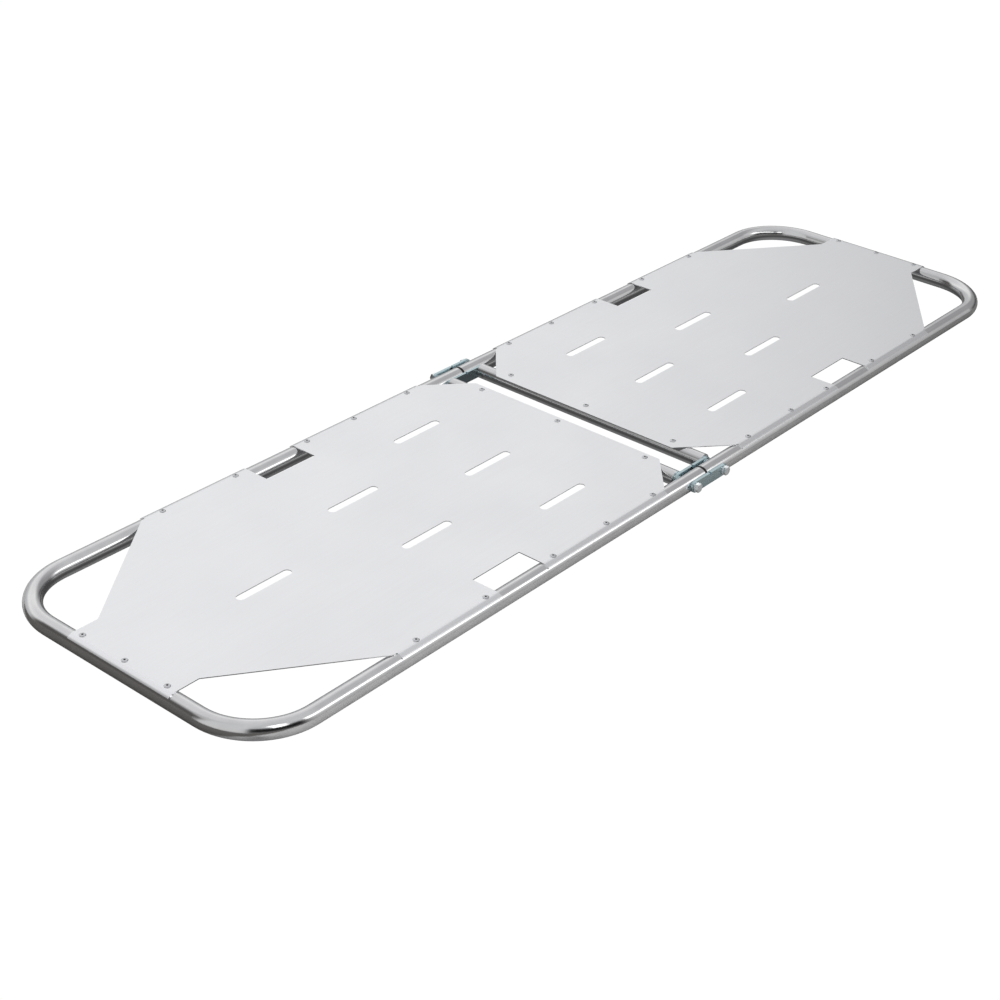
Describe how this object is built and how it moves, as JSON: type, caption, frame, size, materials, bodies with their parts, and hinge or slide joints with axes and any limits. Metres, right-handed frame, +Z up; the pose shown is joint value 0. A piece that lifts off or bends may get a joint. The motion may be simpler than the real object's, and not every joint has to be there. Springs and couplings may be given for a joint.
{
  "type": "folding stretcher",
  "caption": "Folding stretcher: U-shaped tube frames with riveted sheet beds, strap slots and hand-holds, joined by link hinges at the middle.",
  "frame": {"origin": "middle of the hinge gap on the surface the stretcher lies on", "axes": "+X along the stretcher, +Y across it towards the far side, +Z up"},
  "size_m": [1.9, 0.548, 0.0309],
  "materials": {
    "tube": "polished",
    "bed": "satin",
    "rivets": "satin",
    "link_zinc": "blue zinc plated",
    "bright_zinc": "bright zinc plated",
    "plugs": "moulded"
  },
  "bodies": {
    "left_half": {"left_tube_frame": "tube", "left_panel": "bed", "left_cross_tube": "tube", "left_near_side_rivets": "rivets", "left_far_side_rivets": "rivets", "left_end_rivets": "rivets", "left_cross_rivets": "rivets", "left_near_end_plug": "plugs", "left_far_end_plug": "plugs", "left_near_sleeve": "bright_zinc", "left_far_sleeve": "bright_zinc", "left_near_insert": "bright_zinc", "left_far_insert": "bright_zinc", "left_insert_pins": "rivets", "left_near_pivot_bolt": "bright_zinc", "left_far_pivot_bolt": "bright_zinc", "left_washers": "bright_zinc"},
    "hinge_links": {"near_outer_link": "link_zinc", "near_inner_link": "link_zinc", "far_outer_link": "link_zinc", "far_inner_link": "link_zinc"},
    "right_half": {"right_tube_frame": "tube", "right_panel": "bed", "right_cross_tube": "tube", "right_near_side_rivets": "rivets", "right_far_side_rivets": "rivets", "right_end_rivets": "rivets", "right_cross_rivets": "rivets", "right_near_end_plug": "plugs", "right_far_end_plug": "plugs", "right_near_sleeve": "bright_zinc", "right_far_sleeve": "bright_zinc", "right_near_insert": "bright_zinc", "right_far_insert": "bright_zinc", "right_insert_pins": "rivets", "right_near_pivot_bolt": "bright_zinc", "right_far_pivot_bolt": "bright_zinc", "right_washers": "bright_zinc"}
  },
  "joints": [
    {"name": "left_fold", "type": "hinge", "parent": "left_half", "child": "hinge_links", "pos_m": [-0.037, 0, 0.0155], "axis": [0, 1, 0], "range_deg": [0, 90]},
    {"name": "right_fold", "type": "hinge", "parent": "hinge_links", "child": "right_half", "pos_m": [0.037, 0, 0.0155], "axis": [0, 1, 0], "range_deg": [0, 90]}
  ]
}
